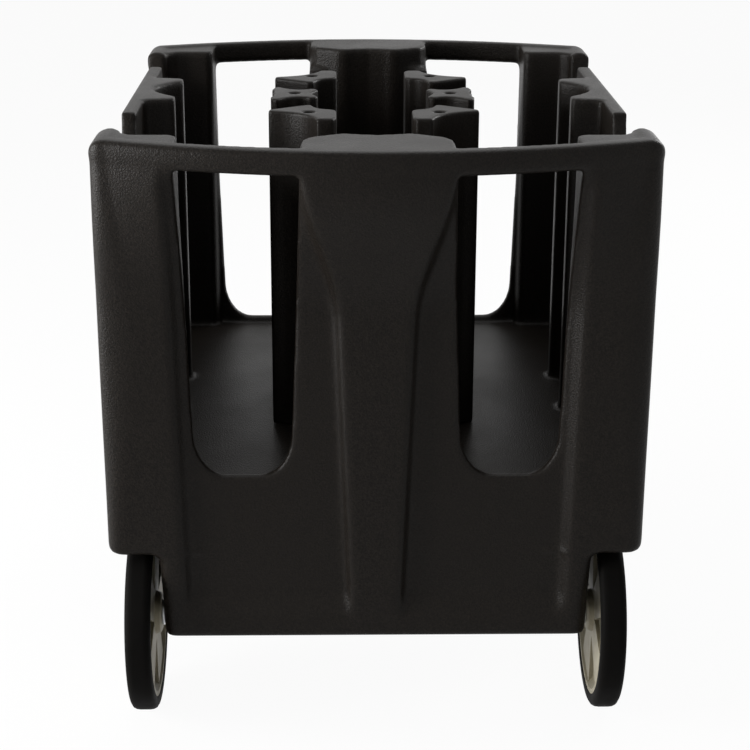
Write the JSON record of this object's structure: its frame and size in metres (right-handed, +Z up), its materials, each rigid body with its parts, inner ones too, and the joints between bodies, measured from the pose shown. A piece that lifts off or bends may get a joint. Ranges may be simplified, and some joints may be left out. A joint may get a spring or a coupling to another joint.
{
  "type": "plate dispenser cart",
  "caption": "Moulded dark plastic plate caddy with open wells, tall end windows and bowed handle rims, on two large wheels and two swivel casters",
  "frame": {"origin": "on the floor, under the middle of the cart", "axes": "+Z up; Y runs along the cart, with the two large wheels at -Y and the swivel casters at +Y; X runs across it"},
  "size_m": [0.727, 0.952, 0.832],
  "materials": {
    "body_plastic": "moulded polyethylene with a fine pebbled grain",
    "post_plastic": "moulded polyethylene, smoother than the body",
    "tyre_black": "smooth solid rubber tyre",
    "wheel_plastic": "grey-beige moulded wheel centre",
    "bush_nylon": "natural nylon bush",
    "caster_rubber": "non-marking grey rubber",
    "zinc_steel": "bright zinc-plated steel"
  },
  "bodies": {
    "cart": {"body_shell": "body_plastic", "divider_post_left_front": "post_plastic", "divider_post_left_middle": "post_plastic", "divider_post_left_back": "post_plastic", "divider_post_right_front": "post_plastic", "divider_post_right_middle": "post_plastic", "divider_post_right_back": "post_plastic", "axle": "zinc_steel", "axle_strap_bolt_1": "zinc_steel", "axle_strap_bolt_2": "zinc_steel", "axle_strap_bolt_3": "zinc_steel", "axle_strap_bolt_4": "zinc_steel", "caster_plate_bolt_1": "zinc_steel", "caster_plate_bolt_2": "zinc_steel", "caster_plate_bolt_3": "zinc_steel", "caster_plate_bolt_4": "zinc_steel", "caster_plate_bolt_5": "zinc_steel", "caster_plate_bolt_6": "zinc_steel", "caster_plate_bolt_7": "zinc_steel", "caster_plate_bolt_8": "zinc_steel", "axle_cap_left": "zinc_steel", "axle_washer_left": "zinc_steel", "axle_collar_left": "zinc_steel", "axle_strap_left": "zinc_steel", "caster_plate_left": "zinc_steel", "caster_race_left": "zinc_steel", "caster_kingpin_left": "zinc_steel", "axle_cap_right": "zinc_steel", "axle_washer_right": "zinc_steel", "axle_collar_right": "zinc_steel", "axle_strap_right": "zinc_steel", "caster_plate_right": "zinc_steel", "caster_race_right": "zinc_steel", "caster_kingpin_right": "zinc_steel"},
    "wheel_left": {"wheel_tyre_left": "tyre_black", "wheel_centre_left": "wheel_plastic", "wheel_bush_left": "bush_nylon"},
    "caster_swivel_left": {"caster_fork_left": "zinc_steel", "caster_bolt_left": "zinc_steel"},
    "caster_wheel_left": {"caster_tyre_left": "caster_rubber", "caster_core_left": "wheel_plastic"},
    "wheel_right": {"wheel_tyre_right": "tyre_black", "wheel_centre_right": "wheel_plastic", "wheel_bush_right": "bush_nylon"},
    "caster_swivel_right": {"caster_fork_right": "zinc_steel", "caster_bolt_right": "zinc_steel"},
    "caster_wheel_right": {"caster_tyre_right": "caster_rubber", "caster_core_right": "wheel_plastic"}
  },
  "joints": [
    {"name": "left_wheel_spin", "type": "hinge", "parent": "cart", "child": "wheel_left", "pos_m": [-0.322, -0.3, 0.136], "axis": [1, 0, 0], "continuous": true},
    {"name": "left_caster_swivel", "type": "hinge", "parent": "cart", "child": "caster_swivel_left", "pos_m": [-0.215, 0.3, 0.125], "axis": [0, 0, 1], "continuous": true},
    {"name": "left_caster_roll", "type": "hinge", "parent": "caster_swivel_left", "child": "caster_wheel_left", "pos_m": [-0.215, 0.266, 0.057], "axis": [1, 0, 0], "continuous": true},
    {"name": "right_wheel_spin", "type": "hinge", "parent": "cart", "child": "wheel_right", "pos_m": [0.322, -0.3, 0.136], "axis": [1, 0, 0], "continuous": true},
    {"name": "right_caster_swivel", "type": "hinge", "parent": "cart", "child": "caster_swivel_right", "pos_m": [0.215, 0.3, 0.125], "axis": [0, 0, 1], "continuous": true},
    {"name": "right_caster_roll", "type": "hinge", "parent": "caster_swivel_right", "child": "caster_wheel_right", "pos_m": [0.215, 0.266, 0.057], "axis": [1, 0, 0], "continuous": true}
  ]
}
